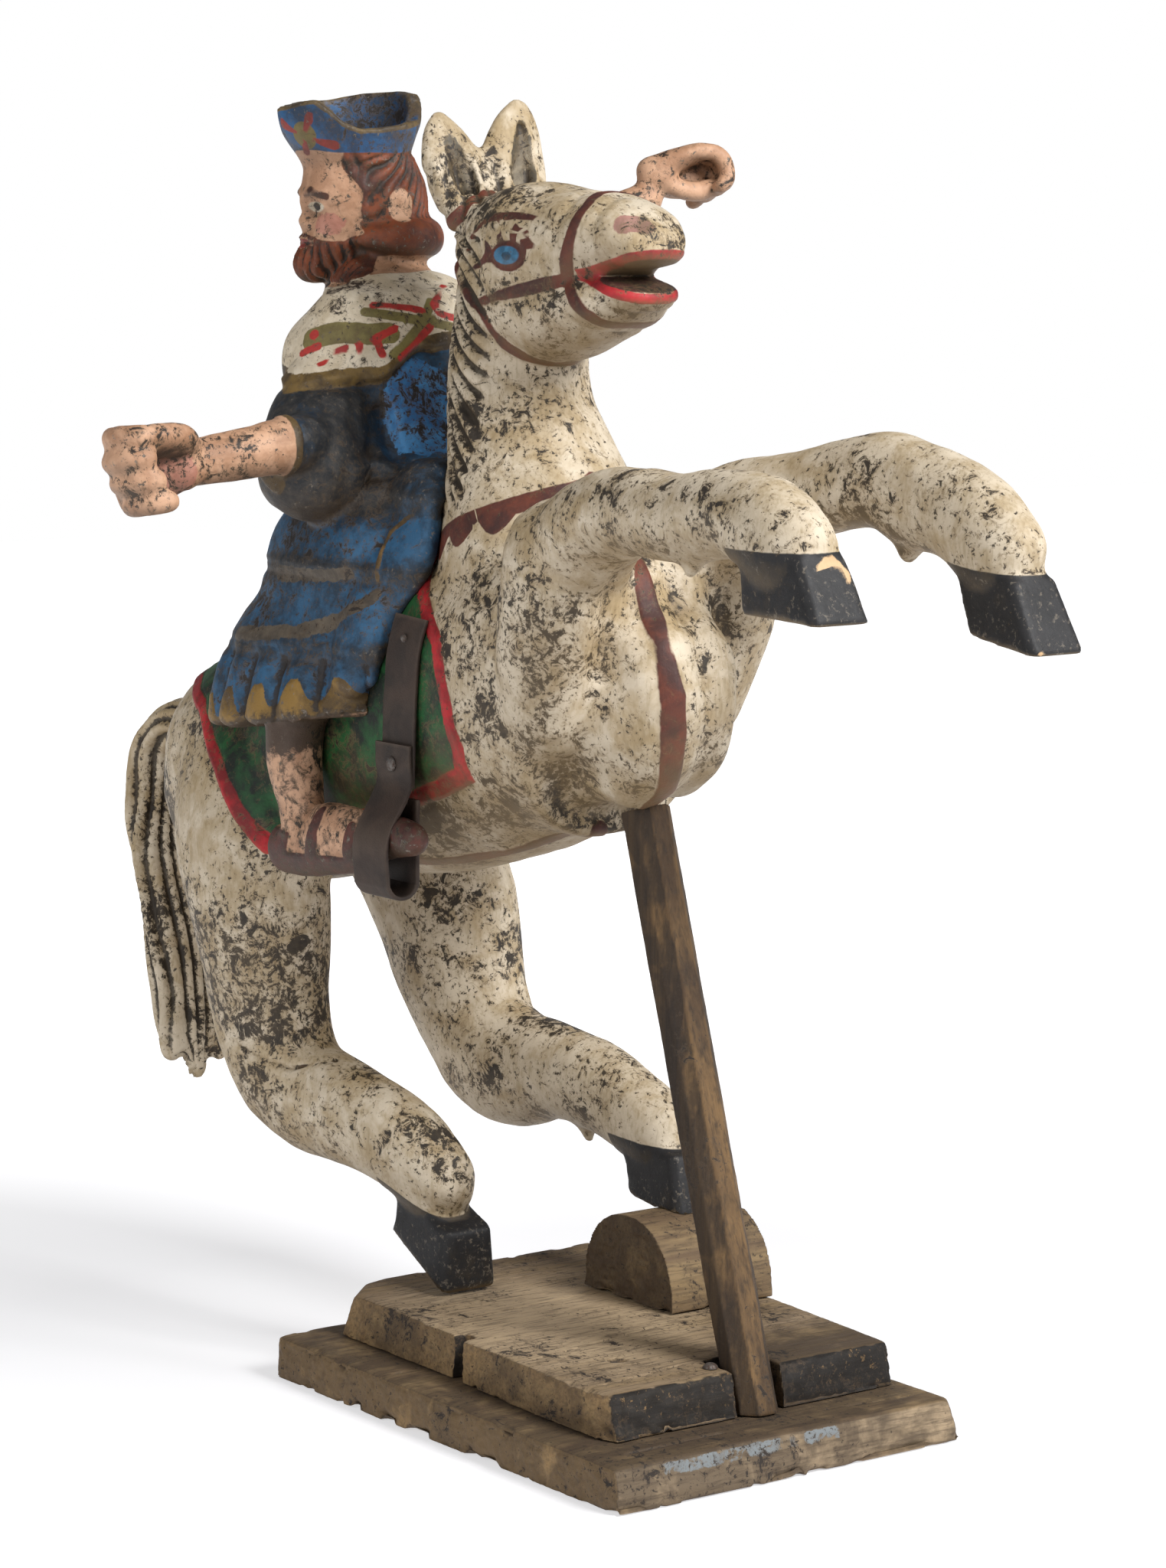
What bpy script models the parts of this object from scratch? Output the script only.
"""A painted folk carving: a rider on a rearing horse, on two stacked planks.

Frame: metres, +Z up, origin at the middle of the lower plank's underside. The horse faces +X and
its left side is +Y. The two figures are drawn in units: FIGURE_UNITS of them make the height from
the upper plank to the top of the hat, so that pose and proportions are shares of that height.
"""
import math

import bmesh
import bpy
import numpy as np
from mathutils import Vector
from mathutils.bvhtree import BVHTree

# Sizes of the whole work
FIGURE_HEIGHT = 0.7155
FIGURE_UNITS = 715.5
GAP = 0.0003

# The two planks
LOWER_THICK = 0.025
LOWER_OUTLINE = ((0.170, -0.1205), (0.1665, 0.1165), (0.162, 0.121), (-0.176, 0.121), (-0.180, 0.116),
                 (-0.1775, -0.108), (-0.175, -0.1175), (-0.167, -0.1205))
LOWER_FOOT = ((0.1755, -0.1205), (0.1705, 0.1235), (0.166, 0.128), (-0.174, 0.124), (-0.180, 0.118),
              (-0.180, -0.108), (-0.177, -0.118), (-0.170, -0.1215))
UPPER_THICK = 0.0256
UPPER_OUTLINE = ((0.1255, -0.0895), (0.1255, 0.106), (0.122, 0.109), (0.000, 0.118), (-0.174, 0.116),
                 (-0.171, -0.046), (-0.166, -0.0615), (-0.144, -0.0835), (-0.030, -0.0865), (-0.026, -0.0895),
                 (0.060, -0.0925), (0.112, -0.0935))
UPPER_FOOT = ((0.1330, -0.0890), (0.1290, 0.108), (0.126, 0.111), (0.000, 0.120), (-0.174, 0.117),
              (-0.173, -0.050), (-0.168, -0.070), (-0.151, -0.0880), (-0.030, -0.0885), (-0.026, -0.0900),
              (0.060, -0.0945), (0.118, -0.0950))
PLANK_WEAR = 0.003

# The open slot in the upper plank's front edge, and the broken notch in its right edge
SLOT_WIDTH = 0.033
SLOT_DEPTH = 0.028
SLOT_Y = 0.012
NOTCH_WIDTH = 0.012
NOTCH_DEPTH = 0.008
NOTCH_PLACE = (-0.026, -0.0875)

# The post under the chest
POST_WIDTH = 0.0278
POST_CORNER = 0.008
POST_SOCKET = 0.014

# The half-round block under the left hind hoof
BLOCK_LENGTH = 0.0765
BLOCK_WIDTH = 0.090
BLOCK_SQUARE = 1.12

# Stirrup leathers, rivets and nails
STRAP_WIDTH = 0.033
STRAP_THICK = 0.0026
LOOP_WIDTH = 0.036
RIVET_RADIUS = 0.0046
RIVET_HEIGHT = 0.0022
STRAP_NAIL_RADIUS = 0.0026
SLOT_NAILS = (((0.1120, -0.0105), (0.0040, 0.0052, 0.0030)), ((0.1050, 0.0330), (0.0022, 0.0030, 0.0018)))
SHARP_ANGLE = 38

# Fineness of the carved skins
VOXEL = 4.0
RIDER_VOXEL = 3.0
HORSE_TRIANGLES = 4600
RIDER_TRIANGLES = 2750

UNIT = FIGURE_HEIGHT / FIGURE_UNITS
DECK = LOWER_THICK + UPPER_THICK + GAP
HORSE_Y = 0.010
POST_FOOT = (0.1234, 0.0112)
POST_HEAD = (26, 0, 292)
BLOCK_X = -0.038
BLOCK_Y = 0.0793
HOOF_REST = 52
STRAP_X = -107
STRAP_TOP_X = -101
STRAP_TOP = 410
RIVET_Z = 324
LOOP_BOTTOM = 247
LOOP_DEPTH = 0.0205


def point(x, y, z):
    """Metres for a place given in units from the horse's own ground point on the upper plank."""
    return Vector((x * UNIT, HORSE_Y + y * UNIT, DECK + z * UNIT))


def hexcolor(code):
    """Linear colour for an sRGB hex code."""
    parts = [int(code[i:i + 2], 16) / 255 for i in (0, 2, 4)]
    return tuple(((c + 0.055) / 1.055) ** 2.4 if c > 0.04045 else c / 12.92 for c in parts) + (1.0,)


def finish(name, code, roughness, metallic=0.0):
    """A Principled material of one colour."""
    material = bpy.data.materials.new(name)
    material.use_nodes = True
    shader = material.node_tree.nodes["Principled BSDF"]
    shader.inputs["Base Color"].default_value = hexcolor(code)
    shader.inputs["Roughness"].default_value = roughness
    shader.inputs["Metallic"].default_value = metallic
    material.diffuse_color = hexcolor(code)
    return material


def add(name, bm, material=None):
    """A new object in the scene from a bmesh."""
    mesh = bpy.data.meshes.new(name)
    bmesh.ops.recalc_face_normals(bm, faces=bm.faces)
    bm.to_mesh(mesh)
    bm.free()
    obj = bpy.data.objects.new(name, mesh)
    bpy.context.scene.collection.objects.link(obj)
    if material:
        mesh.materials.append(material)
    return obj


def guide(obj):
    """Mark an object as a cutter that is not part of the model."""
    obj.hide_render = True
    obj.display_type = "WIRE"
    return obj


def boolean(obj, other, operation="DIFFERENCE"):
    """A live Boolean with the exact solver."""
    modifier = obj.modifiers.new(operation.lower(), "BOOLEAN")
    modifier.operation = operation
    modifier.object = other
    return modifier


def evaluated_mesh(obj):
    """The mesh that an object's modifiers give."""
    graph = bpy.context.evaluated_depsgraph_get()
    graph.update()
    return bpy.data.meshes.new_from_object(obj.evaluated_get(graph))


def settle(obj):
    """Turn an object's modifiers into plain mesh."""
    mesh = evaluated_mesh(obj)
    obj.modifiers.clear()
    obj.data = mesh


def smooth_rows(rows, steps):
    """Rows of numbers along a Catmull-Rom curve through the given rows."""
    rows = np.array(rows, float)
    padded = np.vstack([2 * rows[0] - rows[1], rows, 2 * rows[-1] - rows[-2]])
    found = []
    for i in range(1, len(rows)):
        a, b, c, d = padded[i - 1:i + 3]
        for k in range(steps):
            t = k / steps
            found.append(0.5 * (2 * b + (c - a) * t + (2 * a - 5 * b + 4 * c - d) * t ** 2
                                + (3 * b - a - 3 * c + d) * t ** 3))
    found.append(rows[-1])
    return np.array(found)


def ring(centre, side, up, across, deep, count, square):
    """Points of one section, an ellipse that squareness above 1 fills towards a box."""
    found = []
    for k in range(count):
        turn = 2 * math.pi * k / count
        c, s = math.cos(turn), math.sin(turn)
        u = math.copysign(abs(c) ** (1 / square), c)
        v = math.copysign(abs(s) ** (1 / square), s)
        found.append(centre + side * (across * u) + up * (deep * v))
    return found


def tube(bm, rows, side=(0, 1, 0), steps=4, count=20, square=1.0, caps=(True, True)):
    """A closed limb through rows of x, y, z, half width along side, half depth, in units."""
    rows = smooth_rows(rows, steps)
    centres = [point(*row[:3]) for row in rows]
    rings = []
    last = len(rows) - 1
    for i, row in enumerate(rows):
        tangent = (centres[min(i + 1, last)] - centres[max(i - 1, 0)]).normalized()
        across = (Vector(side) - tangent * Vector(side).dot(tangent)).normalized()
        deep = tangent.cross(across)
        a, b = row[3] * UNIT, row[4] * UNIT
        places = [(0.0, 1.0)]
        round_end = [(math.sin(t), math.cos(t)) for t in (0.5, 1.0, 1.35)]
        if caps[0] and i == 0:
            places = [(-s, c) for s, c in reversed(round_end)] + places
        if caps[1] and i == last:
            places = places + round_end
        for along, scale in places:
            centre = centres[i] + tangent * (along * min(a, b))
            rings.append(ring(centre, across, deep, a * scale, b * scale, count, square))
    skin(bm, rings)


def skin(bm, rings):
    """A closed skin over rings of points, with a flat face at each end."""
    rows = [[bm.verts.new(p) for p in points] for points in rings]
    count = len(rows[0])
    for low, high in zip(rows, rows[1:]):
        for k in range(count):
            n = (k + 1) % count
            bm.faces.new((low[k], low[n], high[n], high[k]))
    bm.faces.new(rows[0][::-1])
    bm.faces.new(rows[-1])


def hull(bm, corners):
    """A convex block over the given points, in units."""
    verts = [bm.verts.new(point(*corner)) for corner in corners]
    found = bmesh.ops.convex_hull(bm, input=verts)
    loose = [v for v in found["geom_interior"] if isinstance(v, bmesh.types.BMVert)]
    if loose:
        bmesh.ops.delete(bm, geom=loose, context="VERTS")


def fuse(name, bm, voxel, rounds, material):
    """One closed skin over overlapping tubes, with the joints between them softened."""
    obj = add(name, bm, material)
    remesh = obj.modifiers.new("fuse", "REMESH")
    remesh.mode = "VOXEL"
    remesh.voxel_size = voxel * UNIT
    soften = obj.modifiers.new("soften", "SMOOTH")
    soften.factor = 0.5
    soften.iterations = rounds
    settle(obj)
    return obj


def in_units(obj):
    """Vertex places in units and normals, as arrays."""
    count = len(obj.data.vertices)
    places = np.empty(count * 3)
    normals = np.empty(count * 3)
    obj.data.vertices.foreach_get("co", places)
    obj.data.vertices.foreach_get("normal", normals)
    places = places.reshape(-1, 3)
    places = (places - np.array(point(0, 0, 0))) / UNIT
    return places, normals.reshape(-1, 3)


def put_units(obj, places):
    """Write vertex places given in units back to the mesh."""
    obj.data.vertices.foreach_set("co", (places * UNIT + np.array(point(0, 0, 0))).ravel())
    obj.data.update()


def ease(value, start, end):
    """0 before start, 1 after end, smooth between."""
    t = np.clip((value - start) / (end - start), 0, 1)
    return t * t * (3 - 2 * t)


def within(value, low, high, soft):
    """1 between low and high, fading out over the soft distance."""
    return ease(value, low - soft, low) * (1 - ease(value, high, high + soft))


def mound(places, centre, radii):
    """A smooth hump of height 1 at a place, gone about a radius away."""
    spread = ((places - np.array(centre)) / np.array(radii)) ** 2
    return np.exp(-spread.sum(axis=1))


def thin(obj, triangles):
    """Collapse a dense skin to a number of triangles."""
    count = sum(len(face.vertices) - 2 for face in obj.data.polygons)
    modifier = obj.modifiers.new("thin", "DECIMATE")
    modifier.ratio = triangles / count
    modifier.use_collapse_triangulate = True
    settle(obj)


# The horse

TRUNK = [(27, 0, 366, 52, 64), (1, 0, 375, 74, 90), (-50, 0, 375, 81, 91), (-110, 0, 357, 80, 95),
         (-170, 0, 335, 78, 90), (-230, 0, 318, 76, 82), (-290, 0, 305, 77, 78),
         (-350, 0, 294, 80, 77), (-395, 0, 284, 72, 68), (-420, 0, 276, 50, 46)]
NECK = [(-60, 0, 400, 72, 70), (-78, 0, 455, 62, 66), (-90, 0, 496, 50, 52),
        (-100, 0, 525, 44, 43), (-103, 0, 555, 41, 40), (-98, 0, 590, 39, 40),
        (-92, 0, 612, 38, 40)]
SKULL = [(-98, 0, 618, 40, 40), (-70, 0, 618, 43, 43), (-35, 0, 623, 38, 34), (-8, 0, 629, 33, 25),
         (14, 0, 629, 29, 19), (26, 0, 625, 24, 14)]
JAW = [(-85, 0, 592, 36, 30), (-55, 0, 587, 37, 30), (-20, 0, 590, 33, 22), (8, 0, 594, 27, 14),
       (22, 0, 597, 22, 10)]
HAUNCH = [(-320, 44, 296, 40, 64), (-362, 42, 284, 38, 62), (-400, 32, 272, 34, 52), (-424, 20, 268, 24, 38)]
SHOULDER = [(22, 56, 452, 34, 38), (14, 56, 415, 34, 36), (-4, 46, 365, 32, 36)]
EAR_RIGHT = [(-126, -15, 636, 17, 14), (-136, -18, 656, 21, 13), (-143, -22, 675, 21, 10),
             (-147, -25, 691, 14, 7), (-149, -26, 700, 7, 4)]
EAR_LEFT = [(-126, 15, 636, 17, 14), (-136, 19, 656, 22, 13), (-142, 23, 676, 23, 10),
            (-144, 27, 696, 16, 7), (-145, 29, 707, 8, 4)]
FORELEG_RIGHT = [(10, -48, 440, 36, 40), (44, -58, 462, 31, 32), (80, -65, 478, 27, 27),
                 (120, -72, 483, 25, 24), (158, -76, 482, 23, 25), (205, -78, 487, 22, 24),
                 (238, -80, 482, 23, 27), (258, -80, 468, 22, 28)]
FORELEG_LEFT = [(10, 48, 445, 36, 44), (48, 56, 470, 31, 36), (86, 64, 484, 27, 26),
                (118, 70, 492, 25, 26), (146, 73, 496, 24, 28), (170, 74, 490, 23, 30),
                (196, 75, 486, 22, 29), (222, 75, 476, 22, 29), (245, 75, 458, 21, 29)]
HIND_RIGHT = [(-340, -44, 300, 40, 62), (-318, -58, 270, 42, 64), (-300, -64, 232, 41, 58),
              (-294, -62, 191, 38, 51), (-293, -60, 157, 34, 48), (-282, -58, 122, 31, 44),
              (-258, -55, 102, 28, 38), (-226, -52, 96, 26, 34), (-190, -49, 90, 24, 31),
              (-158, -44, 80, 23, 30), (-132, -38, 62, 20, 28)]
HIND_LEFT = [(-345, 44, 296, 40, 62), (-322, 66, 256, 42, 66), (-300, 74, 212, 40, 62),
             (-283, 76, 168, 36, 54), (-266, 77, 136, 33, 46), (-244, 77, 114, 30, 44),
             (-209, 77, 108, 27, 38), (-168, 77, 112, 24, 30), (-126, 78, 108, 23, 28),
             (-92, 79, 98, 21, 27), (-62, 80, 86, 20, 26)]
TAIL = [(-420, 0, 290, 16, 20), (-458, 0, 303, 20, 17), (-488, -2, 306, 23, 16),
        (-508, -4, 292, 25, 15), (-515, -6, 270, 26, 14), (-509, -10, 240, 26, 14),
        (-492, -14, 205, 25, 14), (-475, -18, 165, 25, 14), (-463, -20, 125, 25, 14),
        (-456, -20, 100, 22, 12)]
TAIL_TIPS = [(-38, 84), (-20, 70), (-3, 80)]
SPURS = [[(174, -77, 470, 9, 9), (168, -79, 453, 4.5, 4.5)],
         [(168, 75, 474, 11, 16), (165, 75, 463, 8, 11), (163, 75, 456, 6, 7)],
         [(-180, -48, 80, 9, 9), (-172, -50, 61, 4.5, 4.5)], [(-154, 79, 96, 9, 9), (-142, 79, 74, 4.5, 4.5)]]
EAR_HOLLOW = [(-128, 19, 648, 6, 6), (-127, 22, 666, 9, 8), (-132, 25, 684, 7, 6), (-138, 26, 693, 3, 3)]
MOUTH = [(0, 607.5, 607.5), (70, 583, 625)]
# Each hoof: front edge x, back edge x, middle y, half width, and z of coronet and sole
HOOVES = {
    "fore_right": {"mid": -80, "half": 18, "top": ((228, 470), (281, 470)), "sole": ((236, 438), (300, 436))},
    "fore_left": {"mid": 75, "half": 18, "top": ((220, 454), (268, 450)), "sole": ((234, 418), (290, 410))},
    "hind_right": {"mid": -35, "half": 19, "top": ((-160, 60), (-106, 38)), "sole": ((-164, 30), (-106, 0.4))},
    "hind_left": {"mid": 79, "half": 18, "top": ((-90, 86), (-34, 84)), "sole": ((-78, 53), (-24, 46))},
}


def horse_tubes(bm):
    tube(bm, TRUNK, square=1.12)
    tube(bm, NECK)
    tube(bm, SKULL, square=1.15)
    tube(bm, JAW, square=1.1)
    for mirror in (-1, 1):
        for rows in (HAUNCH, SHOULDER):
            tube(bm, [(x, y * mirror, z, a, b) for x, y, z, a, b in rows])
    for rows in (EAR_RIGHT, EAR_LEFT, FORELEG_RIGHT, FORELEG_LEFT, HIND_RIGHT, HIND_LEFT):
        tube(bm, rows)
    for rows in SPURS:
        tube(bm, rows, count=10)
    tube(bm, TAIL)
    for y, z in TAIL_TIPS:
        tube(bm, [(-456, y * 0.8 - 4, 118, 9, 9), (-453, y, 98, 8, 9), (-449, y, z + 8, 6, 7)], count=10)


def carve_horse(obj):
    """Mane, tail locks and chest muscles, cut into the skin."""
    places, normals = in_units(obj)
    x, y, z = places.T
    push = np.zeros(len(places))
    # mane: slanting locks down the back of the neck
    behind = ease(-(x + 104), 0, 16) * within(z, 480, 634, 24)
    push += behind * 2.2 * np.sin((z + 0.6 * (x + 140) - 0.7 * np.abs(y)) * 2 * math.pi / 13)
    # tail locks
    around = within(-x, 440, 560, 12) * within(z, 60, 345, 6)
    push += around * 1.8 * np.cos((y + 4 + 0.05 * z) * 2 * math.pi / 11)
    # grooves beside the breast strap, and the shoulder muscle
    front = ease(x, -30, 10) * within(z, 312, 430, 18)
    for centre in (-30, 30):
        push -= front * 5.0 * np.exp(-((y - centre) / 8) ** 2)
    put_units(obj, places + normals * push[:, None])


def hoof(bm, spec):
    """A hoof as a block that leans forward, with its front corners cut."""
    y, half = spec["mid"], spec["half"]
    corners = []
    for (back, front), grow in ((spec["top"], -1.5), (spec["sole"], 1.5)):
        for side in (-1, 1):
            w = half + grow
            corners.append((back[0], y + side * w * 0.90, back[1]))
            corners.append((front[0] - 5, y + side * w, front[1] + (back[1] - front[1]) * 0.1))
            corners.append((front[0], y + side * w * 0.84, front[1]))
    hull(bm, corners)


SKIN = finish("painted_wood_cream", "C9BDA2", 0.6)
CLOTH = finish("painted_wood_blue", "2F4F73", 0.65)
PLANK = finish("weathered_plank", "7A6A55", 0.85)
HEWN = finish("hewn_post", "7D6647", 0.8)
LEATHER = finish("old_leather", "4A403A", 0.7)
IRON = finish("iron", "5A5552", 0.5, 0.8)


def make_horse():
    bm = bmesh.new()
    horse_tubes(bm)
    horse = fuse("horse", bm, VOXEL, 8, SKIN)
    carve_horse(horse)
    thin(horse, HORSE_TRIANGLES)
    for name, spec in HOOVES.items():
        bm = bmesh.new()
        hoof(bm, spec)
        boolean(horse, guide(add("hoof_" + name, bm)), "UNION")
    bm = bmesh.new()
    hull(bm, [(x, y, z) for x, low, high in MOUTH for z in (low, high) for y in (-60, 60)])
    boolean(horse, guide(add("mouth_cut", bm)))
    for mirror, name in ((-1, "right"), (1, "left")):
        bm = bmesh.new()
        tube(bm, [(x, y * mirror, z, a, b) for x, y, z, a, b in EAR_HOLLOW], steps=2, count=10)
        boolean(horse, guide(add("ear_cut_" + name, bm)))
    return horse


# The rider. The head is drawn in its own frame: forward, left, up from the middle of the head

HEAD_AT = (-269, -10, 636)
HEAD_TURN = -101.5
HEAD = [(23, 0, -24, 14, 12), (18, 0, -19, 20, 18), (9, 0, -10, 25, 25), (2, 0, 2, 28, 30),
        (0, 0, 20, 29, 31), (-1, 0, 38, 27, 29)]
HAIR = [(-9, 0, -16, 28, 26), (-12, 0, -6, 32, 31), (-14, 0, 12, 33, 33), (-11, 0, 28, 30, 30)]
HAIR_ROLL = [(2, 31, -9, 7, 7), (-16, 35, -10, 10, 9), (-38, 28, -10, 12, 10), (-48, 0, -9, 12, 10),
             (-38, -28, -10, 12, 10), (-16, -35, -10, 10, 9), (2, -31, -9, 7, 7)]
HAT = [(-2, 0, 34, 28, 32), (-2, 0, 44, 33, 37), (-1, 0, 58, 38, 43), (0, 0, 70, 40, 45), (0, 0, 82, 42, 46)]
# Height of the hat's rim by degrees of turn from the face towards the left side: a panel that stands
# high over the face, a low left side and a high back
RIM = ((-180, 78), (-160, 80), (-120, 79), (-90, 75), (-60, 74), (-20, 69), (10, 71), (40, 74), (52, 68),
       (64, 60), (80, 56), (100, 57), (125, 59), (150, 62), (165, 70), (180, 78))
HAT_FLOOR = 49
THROAT = [(-255, -3, 575, 24, 24), (-262, -7, 600, 22, 21), (-268, -10, 622, 21, 20)]
TORSO = [(-228, 0, 322, 112, 105), (-226, 0, 345, 110, 104), (-220, 0, 368, 104, 98),
         (-211, 0, 400, 94, 89), (-209, 0, 430, 89, 91), (-215, 0, 456, 80, 86), (-219, 0, 478, 68, 72),
         (-224, 0, 500, 61, 58), (-229, 0, 525, 61, 53), (-234, 0, 556, 69, 47), (-238, 0, 578, 60, 39),
         (-248, 0, 592, 36, 27)]
LAP = [(-150, 42, 478, 12, 34), (-134, 60, 446, 12, 30), (-146, 77, 408, 12, 23), (-150, 86, 372, 12, 21)]
SLEEVE_RIGHT = [(-228, -42, 545, 28, 26), (-216, -66, 516, 33, 32), (-200, -84, 491, 33, 33)]
SLEEVE_LEFT = [(-234, 44, 552, 28, 26), (-215, 70, 566, 28, 28), (-202, 90, 592, 24, 25)]
FOREARM_RIGHT = [(-196, -84, 508, 17, 17), (-180, -110, 507, 16, 17), (-182, -148, 502, 14, 15),
                 (-184, -176, 498, 13, 14)]
FOREARM_LEFT = [(-208, 82, 584, 15, 16), (-203, 108, 619, 13, 13), (-200, 134, 640, 11, 11),
                (-197, 162, 650, 11, 11)]
# Each hand: its wrist, the way it points, the way the fingers bend, and its size. The web joins the
# thumb's side to the palm, and the thumb's way is along, bend and over
FIST_RIGHT = {"at": (-186, -180, 497), "reach": (0, -1, -0.06), "curl": (1, 0, 0.1), "size": 1.06, "web": 13,
              "thumb": ((-2, 6, 10), (10, 20, 15), (27, 27, 17), (40, 24, 16))}
FIST_LEFT = {"at": (-196, 168, 668), "reach": (0.1, 0.9, 0.3), "curl": (0.3, 0.3, -0.85), "size": 0.82,
             "web": -9, "thumb": ((-2, 8, 4), (10, 20, 4), (24, 27, 4), (36, 28, 4))}
SHIN = [(-212, 78, 384, 22, 26), (-208, 90, 350, 19.5, 20), (-204, 95, 318, 16.5, 17),
        (-196, 95, 292, 14, 15), (-192, 95, 270, 13, 16)]
FOOT = [(-210, 95, 263, 12, 15), (-188, 95, 268, 13, 19), (-160, 94, 275, 13, 21), (-130, 93, 277, 11, 18),
        (-106, 92.3, 281, 8.5, 13), (-88, 92.3, 283, 8.5, 11), (-78, 92.3, 283, 8, 9)]
LEFT_LEG_SHIFT = (0, 5, 42)
# How much shorter each finger is than the hand's reach, from the little finger to the forefinger
FINGER_SHORT = (11, 5, 1, 3)
FINGER_PITCH = 12
HEM_Z = 322
HEM_BACK = -330
HEM_RISE = 0.17
TIERS = ((320, 382), (382, 430), (430, 470))
PLEATS = 21


def from_head(forward, left, up):
    """Units of the figure for a place in the head's own frame."""
    turn = math.radians(HEAD_TURN)
    c, s = math.cos(turn), math.sin(turn)
    return (HEAD_AT[0] + forward * c - left * s, HEAD_AT[1] + forward * s + left * c, HEAD_AT[2] + up)


def to_head(places):
    """Forward, left and up in the head's frame, for figure places."""
    turn = math.radians(HEAD_TURN)
    c, s = math.cos(turn), math.sin(turn)
    dx, dy, dz = (places - np.array(HEAD_AT)).T
    return dx * c + dy * s, -dx * s + dy * c, dz


def head_tube(bm, rows, **options):
    turn = math.radians(HEAD_TURN)
    rows = [from_head(*row[:3]) + tuple(row[3:]) for row in rows]
    tube(bm, rows, side=(-math.sin(turn), math.cos(turn), 0), **options)


def fist(bm, at, reach, curl, size, web, thumb):
    """A hollow closed hand: palm with its heel, four curled fingers, and a thumb with its web."""
    reach = Vector(reach).normalized()
    curl = (Vector(curl) - reach * Vector(curl).dot(reach)).normalized()
    spread = reach.cross(curl)
    if spread.z + 0.5 * spread.x < 0:
        spread = -spread
    at = Vector(at)

    def row(along, bend, over, a, b):
        p = at + (reach * along + curl * bend + spread * over) * size
        return (p.x, p.y, p.z, a * size, b * size)

    tube(bm, [row(-4, 0, 0, 12, 12), row(8, 0, 0, 17, 11), row(22, -1, 0, 23, 9), row(36, 0, 0, 24, 8)],
         side=spread)
    tube(bm, [row(-6, 4, 0, 11, 10), row(2, 8, 0, 14, 9), row(7, 8, 0, 14, 6)], side=spread)
    tube(bm, [row(8, 12, web, 7, 11), row(24, 15, web, 7, 13), row(40, 15, web, 7, 12)], side=spread)
    for k, short in enumerate(FINGER_SHORT):
        over = (k - (len(FINGER_SHORT) - 1) / 2) * FINGER_PITCH
        tube(bm, [row(along - short, bend, over, a, b) for along, bend, a, b in
                  ((34, 0, 7, 7), (47, 6, 7, 7), (51, 17, 7, 7), (47, 28, 7, 6.5), (40, 31, 6.5, 6))],
             side=spread, count=12)
    tube(bm, [row(*place, 7.5, 7.5) for place in thumb], side=curl, count=12)


def rider_tubes(bm):
    tube(bm, TORSO, square=1.3, count=28, caps=(False, True))
    for vert in bm.verts:
        x, _, z = (vert.co - point(0, 0, 0)) / UNIT
        vert.co.z += HEM_RISE * (x - HEM_BACK) * UNIT * (1 - float(ease(z, HEM_Z, HEM_Z + 90)))
    for mirror in (-1, 1):
        tube(bm, [(x, y * mirror, z, a, b) for x, y, z, a, b in LAP])
    tube(bm, THROAT)
    head_tube(bm, HEAD)
    head_tube(bm, HAIR)
    roll = [from_head(*row[:3]) + tuple(row[3:]) for row in HAIR_ROLL]
    tube(bm, roll, side=(0, 0, 1), count=14)
    head_tube(bm, HAT, caps=(False, False))
    tube(bm, SLEEVE_RIGHT, side=(1, 0, 0))
    tube(bm, SLEEVE_LEFT, side=(1, 0, 0))
    tube(bm, FOREARM_RIGHT, side=(1, 0, 0))
    tube(bm, FOREARM_LEFT, side=(1, 0, 0))
    fist(bm, **FIST_RIGHT)
    fist(bm, **FIST_LEFT)
    dx, dy, dz = LEFT_LEG_SHIFT
    for rows in (SHIN, FOOT):
        tube(bm, [(x, -y, z, a, b) for x, y, z, a, b in rows])
        shifted = []
        for x, y, z, a, b in rows:
            share = float(ease(SHIN[0][2] - z, 0, 90))
            shifted.append((x + dx * share, y + dy * share, z + dz * share, a, b))
        tube(bm, shifted)


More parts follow.
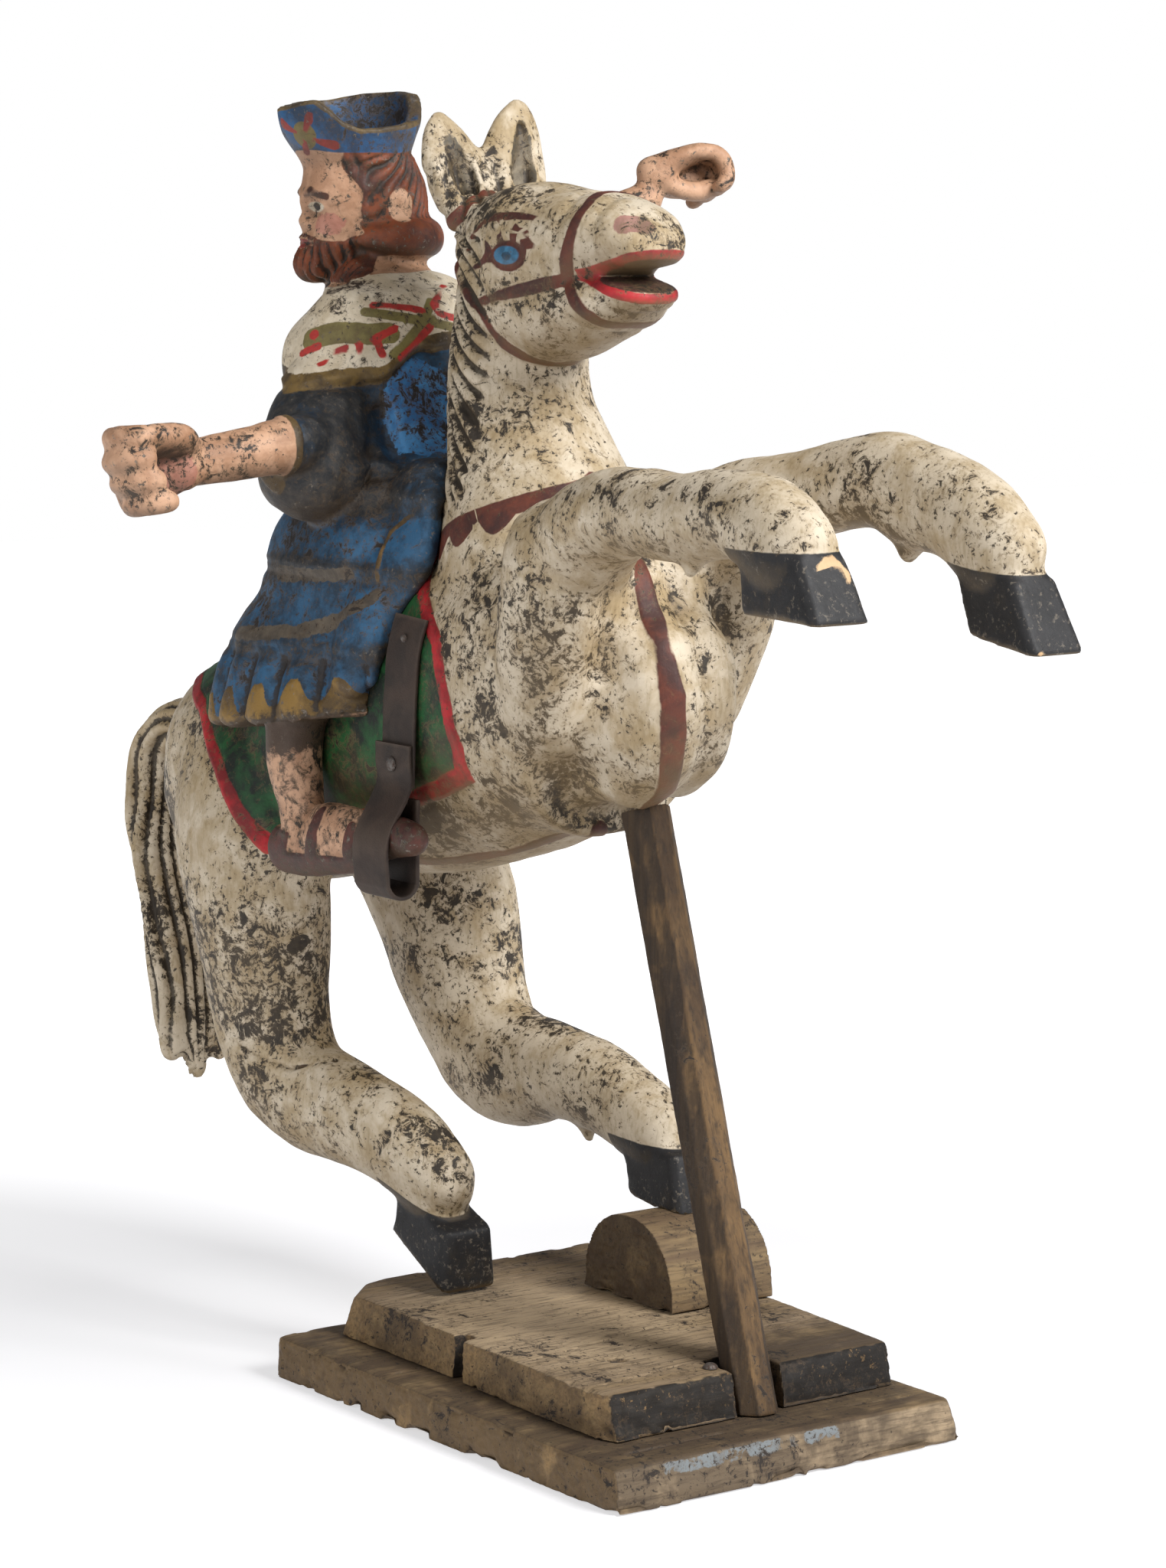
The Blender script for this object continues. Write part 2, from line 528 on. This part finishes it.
def carve_rider(obj):
    """Face, hat brim, cape hem, tiers and pleats of the tunic."""
    places, normals = in_units(obj)
    x, y, z = places.T
    forward, left, up = to_head(places)
    # hat: cut down to its rim, hollow inside
    heights, across, deep = (np.array(HAT)[:, i] for i in (2, 3, 4))
    turn = np.degrees(np.arctan2(left / across[-1], forward / deep[-1]))
    rim = np.interp(turn, *np.array(RIM).T)
    reach = np.hypot(left / across[-1], forward / deep[-1])
    cut = (up > rim) & (reach < 1.2)
    shrink = np.where(cut, np.interp(rim, heights, across) / np.interp(up, heights, across), 1) - 1
    places[:] = np.where(cut[:, None], np.stack(from_head(forward * (1 + shrink), left * (1 + shrink),
                                                          HAT_FLOOR + (rim - HAT_FLOOR) * ease(reach, 0.70, 0.82)),
                                                axis=1), places)
    push = np.zeros(len(places))
    head = np.stack([forward, left, up], axis=1)
    for centre, radii, height in (((31, 0, 2), (7, 4.5, 9), 7.0), ((30, 0, -6), (6, 5, 4), 2.5),
                                  ((28, 11, 8), (8, 6, 4.5), -3.5), ((28, -11, 8), (8, 6, 4.5), -3.5),
                                  ((28, 10, 16), (8, 8, 3), 1.8), ((28, -10, 16), (8, 8, 3), 1.8),
                                  ((30, 0, -13), (6, 7, 3), 1.8), ((-20, 32, 10), (7, 6, 9), 4.0),
                                  ((-20, -32, 10), (7, 6, 9), 4.0)):
        push += height * mound(head, centre, radii)
    # cape with a scalloped hem
    round_body = np.arctan2(y, x + 235)
    hem = 548 + 5 * np.abs(np.sin(2.5 * round_body))
    push += 3.5 * ease(z, hem - 2, hem + 2) * (1 - ease(z, 590, 600)) * (1 - ease(np.abs(y), 70, 90))
    # tiers and pleats
    hem_line = HEM_Z + HEM_RISE * (x - HEM_BACK)
    skirt = (1 - ease(z, 462, 472)) * (z > hem_line - 2) * (1 - ease(x, -118, -108))
    for low, high in TIERS:
        share = np.clip((z - low) / (high - low), 0, 1)
        push += skirt * ((z >= low) & (z < high)) * (2.2 - 5.0 * share)
    pleat = np.cos(PLEATS * np.arctan2(y, x + 228))
    push += skirt * (1 - ease(z, 376, 384)) * 4.0 * pleat
    # fold at the belt
    push += 4 * within(z, 482, 496, 8) * (1 - ease(np.abs(y), 66, 80))
    put_units(obj, places + normals * push[:, None])


def make_rider():
    bm = bmesh.new()
    rider_tubes(bm)
    rider = fuse("rider", bm, RIDER_VOXEL, 5, CLOTH)
    carve_rider(rider)
    thin(rider, RIDER_TRIANGLES)
    return rider


def box(bm, size, at):
    """An axis-aligned block, by its full sizes and its middle."""
    made = bmesh.ops.create_cube(bm, size=1)["verts"]
    bmesh.ops.scale(bm, vec=size, verts=made)
    bmesh.ops.translate(bm, vec=at, verts=made)
    return made


def prism(bm, foot, outline, low, high):
    """An upright block with one outline for its foot and one for its top."""
    rings = [[Vector((x, y, z)) for x, y in rows] for rows, z in ((foot, low), (outline, high))]
    skin(bm, rings)


def plank(name, foot, outline, low, high):
    """A plank over its outlines, with its top edges worn."""
    bm = bmesh.new()
    prism(bm, foot, outline, low, high)
    top = [e for e in bm.edges if all(v.co.z > (low + high) / 2 for v in e.verts)]
    bmesh.ops.bevel(bm, geom=top, offset=PLANK_WEAR, segments=2, profile=0.5, affect="EDGES")
    return add(name, bm, PLANK)


def make_base():
    plank("base_board_lower", LOWER_FOOT, LOWER_OUTLINE, 0, LOWER_THICK)
    upper = plank("base_board_upper", UPPER_FOOT, UPPER_OUTLINE, LOWER_THICK + GAP, DECK)
    middle = LOWER_THICK + GAP + UPPER_THICK / 2
    bm = bmesh.new()
    box(bm, (SLOT_DEPTH * 2, SLOT_WIDTH, UPPER_THICK * 2), (UPPER_OUTLINE[0][0], SLOT_Y, middle))
    boolean(upper, guide(add("slot_cut", bm)))
    bm = bmesh.new()
    box(bm, (NOTCH_WIDTH, NOTCH_DEPTH * 2, UPPER_THICK * 2), (*NOTCH_PLACE, middle))
    boolean(upper, guide(add("notch_cut", bm)))


def post_body(bm, grow=0.0):
    """The hewn post as an eight-sided bar from the lower plank into the chest."""
    foot = Vector((*POST_FOOT, LOWER_THICK + GAP))
    head = point(*POST_HEAD)
    lean = (head - foot).normalized()
    head = head + lean * (POST_SOCKET + grow)
    half = POST_WIDTH / 2 + grow
    cut = POST_CORNER
    section = []
    for sx, sy in ((1, -1), (1, 1), (-1, 1), (-1, -1)):
        a, b = (sx * half, sy * (half - cut)), (sx * (half - cut), sy * half)
        section += [a, b] if sx * sy > 0 else [b, a]
    section = sorted(section, key=lambda p: math.atan2(p[1], p[0]))
    forward = Vector((1, 0, 0)) - lean * lean.x
    forward.normalize()
    across = lean.cross(forward)
    low, high = [], []
    for u, v in section:
        edge = foot + forward * u + across * v
        low.append(edge + lean * ((foot.z - grow - edge.z) / lean.z))
        high.append(head + forward * u + across * v)
    skin(bm, [low, high])


def block_body(bm, grow=0.0):
    """The half-round block: an arc lying along Y, steep at its foot."""
    flat = DECK + GAP
    rise = HOOF_REST * UNIT - GAP * 2 + grow
    half = BLOCK_WIDTH / 2 + grow
    arc = [(BLOCK_X + half * math.copysign(abs(math.cos(t)) ** (1 / BLOCK_SQUARE), math.cos(t)),
            flat + rise * abs(math.sin(t)) ** (1 / BLOCK_SQUARE)) for t in np.linspace(0, math.pi, 19)]
    ends = (BLOCK_Y - BLOCK_LENGTH / 2 - grow, BLOCK_Y + BLOCK_LENGTH / 2 + grow)
    skin(bm, [[Vector((x, y, z)) for x, z in arc] for y in ends])


def outermost(flank, x, z, side):
    """How far out the horse reaches at x, z on one side, in units from the middle plane."""
    hit = flank.ray_cast(point(x, side * 300, z), Vector((0, -side, 0)))[0]
    return side * (hit.y - HORSE_Y) / UNIT if hit else 0.0


def ribbon(bm, path, width, thick):
    """A flat strap along a path of x, y, z in metres; its width lies along X."""
    rings = []
    last = len(path) - 1
    for i, centre in enumerate(path):
        tangent = (path[min(i + 1, last)] - path[max(i - 1, 0)]).normalized()
        normal = tangent.cross(Vector((1, 0, 0))).normalized()
        along = normal.cross(tangent)
        rings.append([centre + along * (u * width / 2) + normal * (v * thick / 2)
                      for u, v in ((1, -1), (1, 1), (-1, 1), (-1, -1))])
    skin(bm, rings)


def stud(bm, centre, outward, radius, height, count=12):
    """A low domed head that stands on a surface."""
    outward = Vector(outward).normalized()
    across = Vector((1, 0, 0))
    up = outward.cross(across)
    rings = [ring(centre + outward * (height * share), across, up, radius * size, radius * size, count, 1.0)
             for share, size in ((0, 1.0), (0.45, 0.95), (0.8, 0.72), (1.0, 0.35))]
    skin(bm, rings)


def make_stirrup(flank, side, name, shift):
    """Strap, loop, rivet and nail on one side of the horse."""
    half = STRAP_WIDTH / UNIT / 2
    reach = 0.0
    path = []
    for share in np.linspace(0, 1, 9):
        x = STRAP_TOP_X + share * (STRAP_X - STRAP_TOP_X) + shift[0]
        z = STRAP_TOP + share * (RIVET_Z + shift[2] - 12 - STRAP_TOP)
        reach = max([reach] + [outermost(flank, x + part * half, z, side) for part in np.linspace(-1, 1, 9)])
        path.append(point(x, side * (reach + STRAP_THICK / UNIT / 2 + 1.0), z))
    bm = bmesh.new()
    ribbon(bm, path, STRAP_WIDTH, STRAP_THICK)
    strap = add("stirrup_strap_" + name, bm, LEATHER)
    outward = Vector((0, side, 0))
    # the loop starts over the strap's end, goes down outside the foot, under it and up behind it
    foot = point(STRAP_X + shift[0], side * (FOOT[4][1] + shift[1]), 0).y
    x = path[-1].x
    over = path[-1].y + side * (STRAP_THICK + GAP)
    free = max(outermost(flank, STRAP_X + shift[0] + part * half, RIVET_Z + shift[2] - drop, side)
               for part in (-1, 0, 1) for drop in (18, 26, 34, 42, 50))
    clear = HORSE_Y + side * (free * UNIT + STRAP_THICK / 2 + 2 * GAP)
    under = max(side * (path[-1].y - side * (STRAP_THICK + GAP)), side * clear) * side
    outer = foot + side * LOOP_DEPTH / 2
    inner = max(side * foot - LOOP_DEPTH / 2, side * clear) * side
    rivet_z = DECK + (RIVET_Z + shift[2]) * UNIT
    bottom = DECK + (LOOP_BOTTOM + shift[2]) * UNIT
    bend = LOOP_DEPTH / 2
    way = [Vector((x, over, rivet_z + 0.012)), Vector((x, over, rivet_z - 0.014)),
           Vector((x, outer, rivet_z - 0.042))]
    for turn in np.linspace(0, math.pi, 9):
        share = (1 - math.cos(turn)) / 2
        way.append(Vector((x, outer + (inner - outer) * share, bottom + bend * (1 - math.sin(turn)))))
    way.append(Vector((x, inner, rivet_z - 0.042)))
    way.append(Vector((x, under, rivet_z - 0.020)))
    bm = bmesh.new()
    ribbon(bm, way, LOOP_WIDTH, STRAP_THICK)
    loop = add("stirrup_loop_" + name, bm, LEATHER)
    bm = bmesh.new()
    stud(bm, Vector((x, over + side * (STRAP_THICK / 2 + GAP), rivet_z)), outward, RIVET_RADIUS, RIVET_HEIGHT)
    add("rivet_" + name, bm, IRON)
    bm = bmesh.new()
    stud(bm, path[1] + outward * (STRAP_THICK / 2 + 2 * GAP), outward, STRAP_NAIL_RADIUS, RIVET_HEIGHT)
    add("strap_nail_" + name, bm, IRON)
    return strap, loop


def make_post():
    bm = bmesh.new()
    post_body(bm)
    return add("chest_post", bm, HEWN)


def make_block():
    bm = bmesh.new()
    block_body(bm)
    return add("hoof_block", bm, PLANK)


def slot_nail(name, at, size):
    """The flattened head of a nail that stands on the upper plank."""
    bm = bmesh.new()
    rings = [ring(Vector((*at, DECK + GAP + size[2] * rise)), Vector((1, 0, 0)), Vector((0, 1, 0)),
                  size[0] * wide, size[1] * wide, 14, 1.0)
             for rise, wide in ((0, 1.0), (0.5, 0.88), (0.85, 0.6), (1.0, 0.28))]
    skin(bm, rings)
    add(name, bm, IRON)


def cut_for(obj, name, build):
    """Cut room for a neighbour that the function build draws, grown by the gap."""
    bm = bmesh.new()
    build(bm, GAP)
    boolean(obj, guide(add("room_for_" + name, bm)))


def cut_copy(obj, other):
    """Cut room for a finished neighbour, grown by the gap."""
    copy = guide(add("room_for_" + other.name, mesh_of(other)))
    grow = copy.modifiers.new("grow", "DISPLACE")
    grow.strength = GAP
    grow.mid_level = 0.0
    boolean(obj, copy)


def mesh_of(obj):
    bm = bmesh.new()
    bm.from_mesh(evaluated_mesh(obj))
    return bm


def shade(obj):
    """Smooth shading with sharp edges kept."""
    settle(obj)
    obj.data.shade_smooth()
    obj.data.set_sharp_from_angle(angle=math.radians(SHARP_ANGLE))


for old in list(bpy.data.objects):
    bpy.data.objects.remove(old)

horse = make_horse()
make_base()
make_post()
make_block()
cut_for(horse, "post", post_body)
cut_for(horse, "block", block_body)
settle(horse)
flank = BVHTree.FromObject(horse, bpy.context.evaluated_depsgraph_get())
rider = make_rider()
cut_copy(rider, horse)
for side, name, shift in ((-1, "right", (0, 0, 0)), (1, "left", LEFT_LEG_SHIFT)):
    for leather in make_stirrup(flank, side, name, shift):
        cut_copy(rider, leather)
for number, (at, size) in enumerate(SLOT_NAILS):
    slot_nail("slot_nail_" + "ab"[number], at, size)
shade(horse)
shade(rider)
